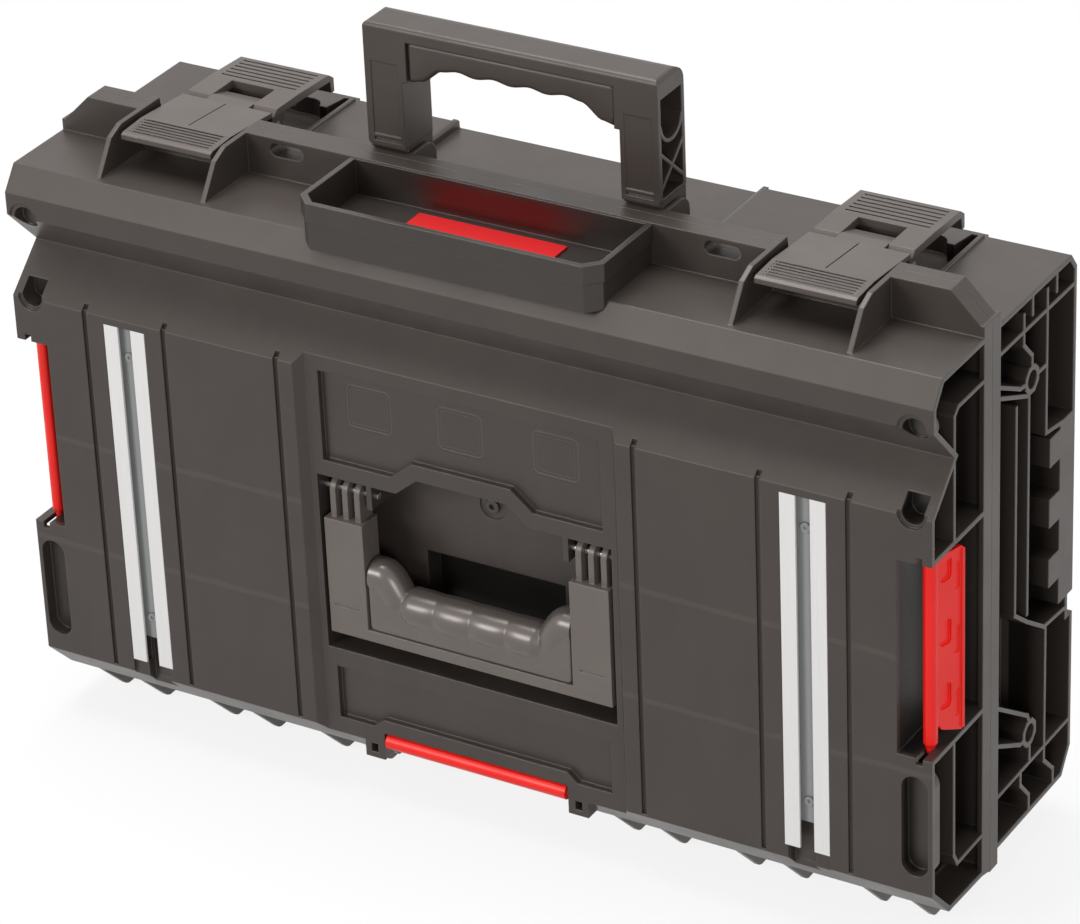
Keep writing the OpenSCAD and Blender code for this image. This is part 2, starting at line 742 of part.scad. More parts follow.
// Grip let into the handle: finger waves along its lower edge
wave_x = 45;
waves = 5;
insert_low = insert_top - 24.5;
function ease(t) = t <= 0 ? 0 : t >= 1 ? 1 : t * t * (3 - 2 * t);
function wave_z(x) = insert_top - 13.4 - 1.2 * cos(360 * waves * x / (2 * wave_x))
    - 10 * ease((abs(x) - wave_x + 1) / 13);
module carry_insert_outline() {
    edge_x = wave_x + 13;
    corner = 2.5;
    polygon(concat(
        [[-insert_x, insert_low], [-insert_x, insert_top - corner], [-insert_x + corner, insert_top],
         [insert_x - corner, insert_top], [insert_x, insert_top - corner], [insert_x, insert_low]],
        [for (i = [40:-1:-40]) [edge_x * i / 40, wave_z(edge_x * i / 40)]]));
}

module carry_handle() color(shell_grey) placed() difference() {
    union() {
        intersection() {
            facing(carry_front, carry_back) difference() {
                soft_span([-carry_x, carry_x], [leg_low, carry_top], 3);
                span([-insert_x - 0.2, insert_x + 0.2], [insert_low - 1, insert_top + 0.2]);
                span([-carryleg_in, carryleg_in], [leg_low - 1, insert_low]);
            }
            across(-carry_x, carry_x) {
                span([carry_front, carry_back], [leg_low, carry_top - 10]);
                span([carry_front + 3, carry_back - 10], [leg_low, carry_top]);
                translate([carry_front + 3, carry_top - 3]) circle(r = 3);
                span([carry_front, carry_front + 4], [leg_low, carry_top - 3]);
                translate([carry_back - 10, carry_top - 10]) circle(r = 10);
            }
        }
        both() across(carryleg_in + 0.4, carry_x - 0.4) {
            translate([carrypin_y, carrypin_z]) circle(d = carryfoot_d - 1);
            span([carrypin_y - carryfoot_d / 2 + 0.5, carry_back], [carrypin_z, leg_low + 2]);
        }
    }
    // open channel on the outer side of each leg
    both() across(carryleg_in + wall, carry_x + 1) difference() {
        span([carry_front + wall, carry_back - wall], [leg_low + wall, carry_top - 12]);
        leg_ribs();
    }
    both() box([carryleg_in + 2.7, carry_x - 4], [carry_front - 1, carry_front + 1.4], [343.2, 345]);
    both() box([carryleg_in + 2.7, carry_x - 4], [carry_front - 1, carry_front + 0.5], [347, 391]);
    both() axle(carryleg_in, carry_x, [carrypin_y, carrypin_z], carrypin_d + 2 * run_fit);
}

module leg_ribs() {
    mid = (carry_front + carry_back) / 2;
    rib_line([[carry_front, 372], [carry_back, 346]], 2);
    rib_line([[carry_front, 346], [carry_back, 372]], 2);
    translate([mid, 386]) difference() {
        circle(r = 12.5);
        circle(r = 10.5);
        span([-20, 20], [0, 20]);
    }
}

module carry_grip() color(soft_grey) placed() facing(carry_front + 1.2, carry_back - 1.2)
    carry_insert_outline();

module carry_pins() color(steel) placed() both()
    axle(carry_x - carryleg_w - 0.4 - bracket_t, carry_x + 0.4 + bracket_t, [carrypin_y, carrypin_z], carrypin_d);

// ---- Latches: a lever on the base, a clip hinged to the lever ----

half_latch = latch_w / 2;
lip_h = 13.4;
lever_lugs = [[post_in - lug_t - gap, post_in - gap], [post_out + gap, post_out + gap + lug_t]];

module lever() {
    difference() {
        across(-half_latch, half_latch) polygon([
            [lever_front, lever_top - plate_t], [lever_front + 4, lever_top], [126, lever_top],
            [157, lever_top - 1.6], [lever_rear, lever_top - 5], [lever_rear, lever_top - lip_h],
            [lever_rear - 3, lever_top - lip_h], [lever_rear - 4, lever_top - plate_t - 2],
            [lever_front + 1, lever_top - plate_t]]);
        box([-tongue_x - gap, tongue_x + gap], [lever_front - 1, window[1]], [300, 340]);
        for (i = [0:5]) across(-half_latch + 5, half_latch - 5)
            translate([130 + 4.6 * i, lever_top - 0.4 - 0.24 * i]) circle(d = 1.8, $fn = 16);
    }
    for (side = [-1, 1], lug = lever_lugs) {
        x0 = side > 0 ? lug[0] : -lug[1];
        difference() {
            across(x0, x0 + lug_t) {
                translate(lever_pin) circle(d = 11);
                polygon([[lever_pin.x - 5.5, lever_pin.y], [lever_pin.x - 5.5, lever_top - plate_t + 1],
                         [window[1], lever_top - plate_t + 1], [lever_pin.x + 5.5, lever_pin.y]]);
            }
            axle(x0 - 1, x0 + lug_t + 1, lever_pin, latch_pin_d + 2 * run_fit);
            axle(x0 - 1, x0 + lug_t + 1, clip_pin, clip_pin_d + 0.04);
        }
    }
    // cross web under the rear plate
    across(-half_latch + 4, half_latch - 4)
        span([window[1] + 1.5, window[1] + 3.5], [lever_top - plate_t - 5, lever_top - plate_t + 1]);
}

module clip() {
    difference() {
        union() {
            across(-half_latch, half_latch) polygon([
                [clip_y, clip_z - 5], [clip_y, clip_z - 2], [clip_y + 2, clip_z - 1], [55, clip_z],
                [clip_rear, lever_top], [clip_rear, lever_top - 3], [56, clip_z - plate_t],
                [clip_y + 3, clip_z - plate_t - 1.4]]);
            across(-tongue_x, tongue_x) polygon([
                [clip_rear - 4, lever_top], [104, lever_top], [clip_pin.x + 1, clip_pin.y + 4.2],
                [clip_pin.x - 3, clip_pin.y - 3.5], [clip_rear - 4, lever_top - 3.4]]);
            axle(-tongue_x, tongue_x, clip_pin, 9);
            across(-24, 24) span([57, 60], [clip_z - plate_t - 3, clip_z - 2]);
        }
        for (i = [0:5]) across(-half_latch + 3, half_latch - 3)
            translate([39 + 2.9 * i, clip_z - 0.62 + 0.1 * i]) circle(d = 1.5, $fn = 16);
        box([-0.4, 0.4], [58, 96], [lever_top - 0.7, clip_z + 1]);
        axle(-tongue_x - 1, tongue_x + 1, clip_pin, clip_pin_d + 2 * run_fit);
    }
}

module latch_lever_right() color(latch_grey) placed() translate([latch_x, 0, 0]) lever();
module latch_lever_left() color(latch_grey) placed() translate([-latch_x, 0, 0]) lever();
module latch_clip_right() color(latch_grey) placed() translate([latch_x, 0, 0]) clip();
module latch_clip_left() color(latch_grey) placed() translate([-latch_x, 0, 0]) clip();

module latch_pins() color(steel) placed() both() for (side = [-1, 1]) {
    x0 = side > 0 ? lever_lugs[0][0] : -lever_lugs[1][1];
    axle(latch_x + x0, latch_x + x0 + lever_lugs[1][1] - lever_lugs[0][0], lever_pin, latch_pin_d);
}

module clip_pin() axle(-lever_lugs[0][1], lever_lugs[0][1], clip_pin, clip_pin_d);
module clip_pin_right() color(steel) placed() translate([latch_x, 0, 0]) clip_pin();
module clip_pin_left() color(steel) placed() translate([-latch_x, 0, 0]) clip_pin();

// ---- Lid handle ----

lidleg_in = lidgrip_x - lidleg_w;
lid_front = field_y;
lidleg_d = 16.5;
lidleg_top = 136.4;
fin_w = 3.6;
fin_x = [71.8, 79.8, 87.8];
plate_z = 69;

module lid_handle() color(latch_grey) placed() difference() {
    union() {
        both() box([lidleg_in, lidgrip_x], [lid_front, lid_front + lidleg_d], [lidgrip_z, lidleg_top]);
        box([-lidgrip_x, lidgrip_x], [lid_front, lid_front + lidleg_d], [lidgrip_z, plate_z - 0.2]);
        both() for (x = fin_x) across(x - fin_w / 2, x + fin_w / 2) {
            translate([lidpin_y, lidpin_z]) circle(r = 6.4);
            span([lidpin_y - 6.4, lidpin_y + 6.4], [lidleg_top - 1, lidpin_z]);
        }
    }
    both() axle(lidleg_in, lidgrip_x, [lidpin_y, lidpin_z], lidpin_d + 2 * run_fit);
    both() box([72.4, 88.8], [lid_front - 1, lid_front + 0.8], [80, 81]);
    both() box([lidleg_in + wall, lidgrip_x - wall], [lid_front + wall, 40], [lidgrip_z + wall, lidleg_top - wall]);
}

// Grip of the lid handle: a bar with finger waves whose ends slope up to the legs
grip_z = lidgrip_z + 24;
grip_y = lid_front + 10;
grip_rise = 16;
grip_waves = 6;
bar_half = lidleg_in - 1.2;
bend_x = [35, 55];
neck_r = bar_d / 2 - 1.5;
function grip_r(x) = bar_d / 2 - 0.6 * (1 - cos(360 * grip_waves * x / (2 * bend_x[0] + 4)))
    - 1.5 * ease((abs(x) - bend_x[0] + 6) / 6);

module grip_bar() translate([0, grip_y, grip_z]) {
    slope = atan2(grip_rise, bend_x[1] - bend_x[0]);
    rotate([0, 90, 0]) rotate_extrude() polygon(concat(
        [[0, -bend_x[0]]], [for (i = [-40:40]) let (x = bend_x[0] * i / 40) [grip_r(x), x]],
        [[0, bend_x[0]]]));
    both() {
        translate([bend_x[0], 0, 0]) {
            sphere(r = neck_r + 0.1);
            rotate([0, 90 - slope, 0]) cylinder(r = neck_r, h = norm([grip_rise, bend_x[1] - bend_x[0]]));
        }
        translate([bend_x[1], 0, grip_rise]) sphere(r = neck_r + 0.1);
        axle(bend_x[1], bar_half, [0, grip_rise], 2 * neck_r);
    }
}

module lid_grip() color(soft_grey) placed() {
    grip_bar();
    // plate under the bar, up to the bar's middle line
    facing(lid_front + 0.5, lid_front + lidleg_d - 1) polygon([
        [bar_half, plate_z + 2], [bar_half - 2, plate_z], [2 - bar_half, plate_z], [-bar_half, plate_z + 2],
        [-bar_half, grip_z + grip_rise], [-bend_x[1], grip_z + grip_rise], [-bend_x[0], grip_z],
        [bend_x[0], grip_z], [bend_x[1], grip_z + grip_rise], [bar_half, grip_z + grip_rise]]);
    both() box([bar_half - 1, lidleg_in], [lid_front + 3, lid_front + 12], [plate_z + 4, grip_z + grip_rise]);
}

module lid_handle_pins() color(steel) placed() both() axle(lidear_x - 1.5, well_x + 2, [lidpin_y, lidpin_z], lidpin_d);

// ---- Red connectors ----

// Rod with a flap that stands a little outwards: windows beside the rod, a notched strip outside
cone_h = 3;
flap_lean = 17;
flap_t = 2.6;
flap_end = 22.8;
flap_pitch = 39.4;
module side_connector() {
    low = nook_z + 3;
    high = nook_top - 3;
    translate([rod_x, rod_y, 0]) {
        translate([0, 0, nook_z + gap]) cylinder(d1 = tip_d, d2 = rod_d, h = cone_h);
        translate([0, 0, nook_z + gap + cone_h]) cylinder(d = rod_d, h = nook_top - nook_z - 2 * (gap + cone_h));
        translate([0, 0, nook_top - gap - cone_h]) cylinder(d1 = rod_d, d2 = tip_d, h = cone_h);
        translate([0, 0, nook_z - wall]) cylinder(d = tip_d, h = nook_top - nook_z + 2 * wall);
        rotate([0, 0, -flap_lean]) difference() {
            union() {
                across(0, flap_t) polygon([
                    [0, low + 12], [4.6, low + 9], [6, low + 6.4], [9, low + 5], [flap_end - 1.5, low],
                    [flap_end, low + 1.5], [flap_end, high - 1.5], [flap_end - 1.5, high], [0, high]]);
                across(0, flap_t + 1) span([flap_end - 2, flap_end], [low + 1.5, high - 1.5]);
            }
            for (i = [0:2]) {
                z = low + 18.5 + flap_pitch * i;
                across(1, flap_t + 1) intersection() {
                    soft_span([4.8, 13.5], [z, z + 15.5], 2.5);
                    span([4.8, 14], [z, high - 4]);
                }
                box([flap_t - 0.8, flap_t + 2], [16, flap_end - 3], [z - 8, min(z + 8.5, high - 4)]);
            }
        }
    }
}

module connector_right() color(signal_red) placed() side_connector();
module connector_left() color(signal_red) placed() mirror([1, 0, 0]) side_connector();

module connector_rear() color(signal_red) placed() {
    axle(-barlock_x, barlock_x, [barlock_y, barlock_z], barlock_d);
    axle(-barlock_x - 9, barlock_x + 9, [barlock_y, barlock_z], 4);
    difference() {
        box([-barlock_x, barlock_x], [barlock_y, 40], [barlock_z - 4.7, barlock_z - 1.7]);
        for (i = [-1.5:1:1.5]) box([28 * i - 9, 28 * i + 9], [18, 34], [-20, 0]);
    }
    box([-barlock_x, barlock_x], [37, 40], [barlock_z - 4.7, barlock_z + 2]);
}

base_shell();
lid_shell();
rail_left();
rail_right();
rail_screws();
tray();
tray_strip();
carry_handle();
carry_grip();
carry_pins();
latch_lever_left();
latch_lever_right();
latch_clip_left();
latch_clip_right();
latch_pins();
clip_pin_left();
clip_pin_right();
lid_handle();
lid_grip();
lid_handle_pins();
connector_left();
connector_right();
connector_rear();
hinge_pins();
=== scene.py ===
import math

import bmesh
import bpy
import numpy as np
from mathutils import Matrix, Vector


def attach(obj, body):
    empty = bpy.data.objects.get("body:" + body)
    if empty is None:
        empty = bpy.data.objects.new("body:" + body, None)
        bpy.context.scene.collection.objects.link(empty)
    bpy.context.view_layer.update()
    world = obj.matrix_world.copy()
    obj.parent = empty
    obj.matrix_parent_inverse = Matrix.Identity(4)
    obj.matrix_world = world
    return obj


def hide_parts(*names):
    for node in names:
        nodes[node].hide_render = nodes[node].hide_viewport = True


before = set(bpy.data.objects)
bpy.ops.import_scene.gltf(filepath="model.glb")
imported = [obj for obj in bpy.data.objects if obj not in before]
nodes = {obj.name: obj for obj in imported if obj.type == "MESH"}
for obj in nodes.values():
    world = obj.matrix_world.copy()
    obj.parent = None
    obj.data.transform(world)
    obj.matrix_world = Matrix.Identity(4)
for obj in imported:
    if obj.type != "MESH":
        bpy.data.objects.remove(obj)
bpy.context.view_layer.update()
print("frame loaded:", len(nodes), "nodes")


class Value:
    # a node's output that can be used in sums: each operator adds one Math node
    def __init__(self, graph, socket):
        self.graph = graph
        self.socket = socket

    def math(self, operation, other=0.0, swapped=False):
        first, second = (other, self) if swapped else (self, other)
        return self.graph.add("ShaderNodeMath", {"operation": operation}, {0: first, 1: second})

    def __add__(self, other):
        return self.math("ADD", other)

    def __radd__(self, other):
        return self.math("ADD", other)

    def __sub__(self, other):
        return self.math("SUBTRACT", other)

    def __rsub__(self, other):
        return self.math("SUBTRACT", other, True)

    def __mul__(self, other):
        return self.math("MULTIPLY", other)

    def __rmul__(self, other):
        return self.math("MULTIPLY", other)

    def size(self):
        return self.math("ABSOLUTE")

    def most(self, other):
        return self.math("MAXIMUM", other)

    # 0 below low, 1 above high, a smooth rise between
    def rise(self, low, high):
        return self.graph.add("ShaderNodeMapRange", {"interpolation_type": "SMOOTHSTEP"},
                              {"Value": self, "From Min": low, "From Max": high})

    # 1 within half of the middle, falling to 0 over soft
    def band(self, middle, half, soft):
        return 1 - (self - middle).size().rise(half, half + soft)


class Graph:
    # the node tree of a material or a world, with one way of adding nodes
    def __init__(self, owner, output):
        owner.use_nodes = True
        self.owner = owner
        self.tree = owner.node_tree
        self.tree.nodes.clear()
        self.out = self.node(output)

    def node(self, kind, settings=None, inputs=None):
        made = self.tree.nodes.new(kind)
        for key, value in (settings or {}).items():
            setattr(made, key, value)
        for key, value in (inputs or {}).items():
            if isinstance(value, Value):
                self.tree.links.new(value.socket, made.inputs[key])
            else:
                made.inputs[key].default_value = value
        return made

    def add(self, kind, settings=None, inputs=None, out=0):
        return Value(self, self.node(kind, settings, inputs).outputs[out])

    def mix(self, share, first, second):
        return self.add("ShaderNodeMix", {"data_type": "RGBA"}, {0: share, 6: first, 7: second}, out=2)

    def join(self, node, socket=0):
        self.tree.links.new(node.outputs[0], self.out.inputs[socket])

    # 1 for the rays of the eye, of reflections and through clear things, which see the studio as white
    def seen(self):
        ray = self.node("ShaderNodeLightPath")
        camera, glossy, clear = (Value(self, ray.outputs[name]) for name in (
            "Is Camera Ray", "Is Glossy Ray", "Is Transmission Ray"))
        return camera.most(glossy).most(clear)


class Finish(Graph):
    # a material whose patterns follow the places of its own piece
    def __init__(self, name):
        super().__init__(bpy.data.materials.new(name), "ShaderNodeOutputMaterial")
        self.place = self.add("ShaderNodeTexCoord", out="Object")
        split = self.node("ShaderNodeSeparateXYZ", {}, {0: self.place})
        self.x, self.y, self.z = (Value(self, split.outputs[i]) for i in range(3))

    # smooth noise from 0 to 1, about size metres from blob to blob
    def noise(self, size, detail=2.0, stretch=(1, 1, 1)):
        spot = self.add("ShaderNodeMapping", {}, {"Vector": self.place, "Scale": stretch})
        return self.add("ShaderNodeTexNoise", {}, {"Vector": spot, "Scale": 1 / size, "Detail": detail})

    # the normal rounded over radius metres
    def rounded(self, radius):
        return self.add("ShaderNodeBevel", {"samples": 4}, {"Radius": radius})

    # 1 where a rounded normal leans away from the true one, which is along an edge
    def edge(self, rounded):
        flat = self.add("ShaderNodeNewGeometry", out="Normal")
        along = self.add("ShaderNodeVectorMath", {"operation": "DOT_PRODUCT"}, {0: rounded, 1: flat},
                         out="Value")
        return (1 - along).rise(0.02, 0.28)

    def relief(self, height, distance, strength, under):
        return self.add("ShaderNodeBump", {}, {"Strength": strength, "Distance": distance, "Height": height,
                                               "Normal": under})

    # the fine grain of a spark-eroded mould, size metres from grain to grain
    def grain(self, under, size=0.0005, depth=0.00002):
        return self.relief(self.noise(size), depth, 0.3, under)

    # the plastic and the metal mirror the studio a little warm, as they do in the photograph
    def finish(self, colour, roughness, normal, metallic=0.0, shine=0.5):
        shader = self.node("ShaderNodeBsdfPrincipled", {}, {
            "Base Color": colour, "Roughness": roughness, "Normal": normal, "Metallic": metallic,
            "Specular IOR Level": shine, "Specular Tint": (1.0, 0.93, 0.88, 1.0)})
        self.join(shader)
        return self.owner


def tone(red, green, blue):
    # an sRGB colour of 0 to 255 as the linear one that the shader takes
    def linear(value):
        share = value / 255
        return share / 12.92 if share <= 0.04045 else ((share + 0.055) / 1.055) ** 2.4
    return (linear(red), linear(green), linear(blue), 1.0)


# places below are in millimetres from the lid's face (y) and its lower edge (z), as in the part's source
drawing = {"faceToMiddle": 95.0, "edgeToFloor": 44.0}


def metres(points):
    # the same places in the frame's metres
    return (np.asarray(points, float) + (0, -drawing["faceToMiddle"], drawing["edgeToFloor"])) / 1000


def atY(value):
    return (value - drawing["faceToMiddle"]) / 1000


def atZ(value):
    return (value + drawing["edgeToFloor"]) / 1000


view = {"place": (1.2937, -2.1074, 1.5717), "turn": (60.861, 2.2285, 30.353), "lens": 166.28, "sensor": 36.0}
camera = bpy.data.objects.new("camera", bpy.data.cameras.new("camera"))
camera.data.lens = view["lens"]
camera.data.sensor_width = view["sensor"]
camera.data.clip_end = 60
camera.location = view["place"]
camera.rotation_euler = [math.radians(a) for a in view["turn"]]
bpy.context.scene.collection.objects.link(camera)
bpy.context.scene.camera = camera
bpy.context.scene.view_settings.view_transform = "Standard"

studio = {"floorHalf": 14.0, "ambient": 0.27, "floorShade": 0.24, "floorClear": 0.84, "lamps": [
    # name, place, aimed at, width, height, watts
    ("topBox", (-0.35, 0.25, 2.3), (0, 0, 0.3), 1.9, 1.3, 54),
    ("frontLeft", (-1.3, -2.6, 1.5), (0, 0, 0.2), 1.2, 0.9, 42),
    ("frontRight", (1.9, -2.3, 0.9), (0.1, 0, 0.2), 0.9, 0.9, 24),
    ("rightEdge", (2.6, 0.3, 1.1), (0.2, 0, 0.2), 0.8, 1.4, 10),
]}


def addLamp(name, place, aim, width, height, watts):
    lamp = bpy.data.objects.new(name, bpy.data.lights.new(name, "AREA"))
    lamp.data.shape = "RECTANGLE"
    lamp.data.size = width
    lamp.data.size_y = height
    lamp.data.energy = watts
    lamp.location = place
    lamp.rotation_euler = (Vector(aim) - Vector(place)).to_track_quat("-Z", "Y").to_euler()
    bpy.context.scene.collection.objects.link(lamp)


def paleFloor(half, shade, clear):
    # a square sheet at z = 0: by the share clear the white behind it shows through, so that what swings below
    # it is still seen; the rest is pale with the object's shadow to the eye, and darker to the bounced light
    corners = [(-half, -half, 0), (half, -half, 0), (half, half, 0), (-half, half, 0)]
    mesh = bpy.data.meshes.new("floor")
    mesh.from_pydata(corners, [], [(0, 1, 2, 3)])
    floor = bpy.data.objects.new("floor", mesh)
    bpy.context.scene.collection.objects.link(floor)
    g = Graph(bpy.data.materials.new("floorWhite"), "ShaderNodeOutputMaterial")
    colour = g.mix(g.seen(), (shade, shade, shade, 1), (0.9, 0.9, 0.9, 1))
    ground = g.add("ShaderNodeBsdfDiffuse", {}, {"Color": colour})
    through = g.add("ShaderNodeBsdfTransparent", {}, {"Color": (1, 1, 1, 1)})
    g.join(g.node("ShaderNodeMixShader", {}, {0: clear, 1: ground, 2: through}))
    mesh.materials.append(g.owner)


def whiteWorld(strength):
    # white to the eye and in reflections, strength to everything that it lights
    world = bpy.data.worlds.new("studio")
    bpy.context.scene.world = world
    g = Graph(world, "ShaderNodeOutputWorld")
    g.join(g.node("ShaderNodeBackground", {}, {"Color": (1, 1, 1, 1), "Strength": g.seen().most(strength)}))


paleFloor(studio["floorHalf"], studio["floorShade"], studio["floorClear"])
whiteWorld(studio["ambient"])
for lamp in studio["lamps"]:
    addLamp(*lamp)
print("camera, floor and light set")

# colours are sRGB of 0 to 255, round is the radius in metres over which an edge is paler and softer, partly
# as wear and partly as a painted highlight
# the shell's pocket colour is painted shade: near-black put inside pockets where shade falls
shellLook = {"colour": (58, 52, 48), "pale": (94, 88, 84), "dark": (45, 40, 37),
             "round": 0.0011, "rough": 0.36, "shine": 0.5, "pocket": (5, 4, 4)}
# the latch's groove colour is painted shade for the bottoms of its thumb grooves
latchLook = {"colour": (78, 71, 68), "pale": (118, 111, 107), "dark": (66, 60, 57),
             "round": 0.0008, "rough": 0.36, "shine": 0.5, "groove": (10, 8, 8)}
handleLook = {"colour": (106, 99, 94), "pale": (134, 127, 122), "dark": (94, 87, 83),
              "round": 0.0009, "rough": 0.36, "shine": 0.5}
gripLook = {"colour": (92, 85, 81), "pale": (122, 115, 111), "dark": (78, 72, 69),
            "round": 0.0009, "rough": 0.25, "shine": 0.8}
# the tray's red colour is a painted reflection of the red strip on its rear wall
trayLook = {"colour": (46, 41, 38), "pale": (88, 82, 78), "dark": (36, 32, 30),
            "round": 0.0010, "rough": 0.32, "shine": 0.5, "paintedReflection": (84, 10, 10)}
redLook = {"colour": (252, 26, 20), "pale": (255, 90, 62), "dark": (238, 14, 14),
           "round": 0.0007, "rough": 0.36, "shine": 0.5}
stripLook = {"colour": (214, 24, 30), "pale": (226, 50, 52), "dark": (196, 18, 24),
             "round": 0.0004, "rough": 0.50, "shine": 0.4}
# sizes in metres of the soft clouds and of the streaks along the flow, and how much each shows
skinPattern = {"cloud": 0.035, "cloudShare": 0.35, "cloudRough": 0.06, "flow": 0.014, "flowShare": 0.04,
               "edgeWearAndHighlightShare": 0.6, "edgeRough": 0.08}


def mouldedSkin(g, look):
    # colour: base, clouded and streaked along the flow, paler and smoother on rounded edges; the paler edges
    # are partly wear and partly a painted highlight
    pattern = skinPattern
    rounded = g.rounded(look["round"])
    edge = g.edge(rounded)
    clouds = g.noise(pattern["cloud"], 3.0).rise(0.3, 0.7)
    flow = g.noise(pattern["flow"], 3.0, (1, 1, 0.15)).rise(0.35, 0.75)
    base = g.mix(clouds * pattern["cloudShare"], tone(*look["colour"]), tone(*look["dark"]))
    base = g.mix(flow * pattern["flowShare"], base, tone(*look["pale"]))
    # paler edges: partly wear, partly a painted highlight
    base = g.mix(edge * pattern["edgeWearAndHighlightShare"], base, tone(*look["pale"]))
    rough = look["rough"] + clouds * pattern["cloudRough"] - edge * pattern["edgeRough"]
    return base, rough, rounded


def mouldedPlastic(name, look, grain=0.0005, depth=0.00002):
    # one colour of plastic with its grain over the rounded edges
    g = Finish(name)
    base, rough, rounded = mouldedSkin(g, look)
    return g.finish(base, rough, g.grain(rounded, grain, depth), shine=look["shine"])


# each row of grooves has its first place and its pitch along y; halves, softness and depth in millimetres
latchGrooves = {"lever": (130, 4.6), "clip": (39, 2.9), "count": 6, "half": 0.45, "soft": 0.5, "above": 325,
                "middle": 201.6, "reach": (25.2, 25.8), "depth": 0.6}


def latchPlastic():
    # dark bottoms in the thumb grooves across the lever and the clip: painted shade over the grooves' relief
    g = Finish("latchPlastic")
    base, rough, rounded = mouldedSkin(g, latchLook)
    rows = latchGrooves
    half, soft, depth = rows["half"] / 1000, rows["soft"] / 1000, rows["depth"] / 1000
    lines = 0
    for first, pitch in (rows["lever"], rows["clip"]):
        for i in range(rows["count"]):
            lines = g.y.band(atY(first + pitch * i), half, soft) + lines
    across = (g.x.size() - rows["middle"] / 1000).size()
    near, far = rows["reach"][0] / 1000, rows["reach"][1] / 1000
    lines = lines * (1 - across.rise(near, far)) * g.z.rise(atZ(rows["above"]), atZ(rows["above"] + 1))
    # the grooves' bottoms painted near-black as painted shade
    base = g.mix(lines * 0.95, base, tone(*latchLook["groove"]))
    bump = g.relief(1 - lines, depth, 0.9, g.grain(rounded))
    return g.finish(base, rough, bump, shine=latchLook["shine"])


sinkMarks = {"heights": (147, 77), "wander": 4.0, "half": 0.9, "soft": 1.6, "depth": 0.12}
labelFrames = {"middles": (-60, -1, 60), "height": 211, "half": (14.2, 13.2), "corner": 3.5, "line": 0.45,
               "gap": 2.2, "depth": 0.35}
# slopes and places of the lid's outer skin, and the ends between which the pockets get near-black painted
# shade
skinForm = {"groove": (26.6, 1.07, 259.6), "lower": 0.98, "nose": (2.0, 0.75, 299.3), "start": (1.8, 4.5),
            "floor": (-19, -16), "roof": 305.9, "roofStep": (4.0, 67, 70), "back": (178, 181),
            "side": (266.5, 267.5), "mouth": (276.0, 288.5)}
fingerSlot = {"half": (45.2, 29.8), "height": 80.7, "depth": (47, 6.0, 2.0), "soft": 0.4}


def sinkLines(g):
    # two faint wandering lines across the face, over the ribs inside it: the sink marks' dents, with a
    # painted highlight along them
    lines = 0
    for height in sinkMarks["heights"]:
        wander = (g.noise(0.05, 1.0) - 0.5) * (sinkMarks["wander"] / 1000)
        lines = (g.z + wander).band(atZ(height), sinkMarks["half"] / 1000, sinkMarks["soft"] / 1000) + lines
    return lines * g.y.band(atY(0), 0.0004, 0.0002)


def emptyFrames(g):
    # distance to a rectangle with round corners: how far a place is outside the rectangle that its corners'
    # centres make, less the corner's radius
    corner = labelFrames["corner"] / 1000
    halfX, halfZ = labelFrames["half"][0] / 1000 - corner, labelFrames["half"][1] / 1000 - corner
    line = labelFrames["line"] / 1000
    frames = 0
    for middle in labelFrames["middles"]:
        outX = ((g.x - middle / 1000).size() - halfX).most(0.0)
        outZ = ((g.z - atZ(labelFrames["height"])).size() - halfZ).most(0.0)
        away = (outX * outX + outZ * outZ).math("SQRT") - corner
        outer = away.band(0.0, line, 0.0004)
        inner = away.band(-labelFrames["gap"] / 1000, line / 2, 0.0003)
        frames = outer + inner + frames
    return frames * g.y.band(atY(10), 0.0006, 0.0002)


def paintedPocketShade(g):
    # the lid's outer skin lies at y = 26.6 - 1.07 |z - 259.6| in the hand groove, at y = -0.98 z on the
    # lower bevel and at y = 2 + 0.75 (z - 299.3) above the nose; the pockets are behind it at both ends, and
    # this masks the near-black painted shade inside them
    form = skinForm
    reach, slope, middle = form["groove"]
    skin = (reach / 1000 - (g.z - atZ(middle)).size() * slope).most((atZ(0) - g.z) * form["lower"]).most(0.0)
    start, slope, above = form["nose"]
    skin = skin.most((g.z - atZ(above)) * slope + start / 1000) + atY(0)
    step, front, back = form["roofStep"]
    roof = atZ(form["roof"]) + step / 1000 * (1 - g.y.rise(atY(front), atY(back)))
    inside = (g.y - skin).rise(form["start"][0] / 1000, form["start"][1] / 1000)
    inside = inside * (1 - (g.z - roof).rise(-0.0006, 0.0))
    inside = inside * g.z.rise(atZ(form["floor"][0]), atZ(form["floor"][1]))
    inside = inside * (1 - g.y.rise(atY(form["back"][0]), atY(form["back"][1])))
    deep = g.x.size().rise(form["side"][0] / 1000, form["side"][1] / 1000)
    return inside * deep * (1 - g.x.size().rise(form["mouth"][0] / 1000, form["mouth"][1] / 1000))


def paintedSlotShade(g):
    # the walls and the bottom of the slot behind the lid handle's bar, which get near-black painted shade
    soft = fingerSlot["soft"] / 1000
    across = g.x.band(0, fingerSlot["half"][0] / 1000, soft)
    up = g.z.band(atZ(fingerSlot["height"]), fingerSlot["half"][1] / 1000, soft)
    middle, half, rim = fingerSlot["depth"]
    return across * up * g.y.band(atY(middle), half / 1000, rim / 1000)


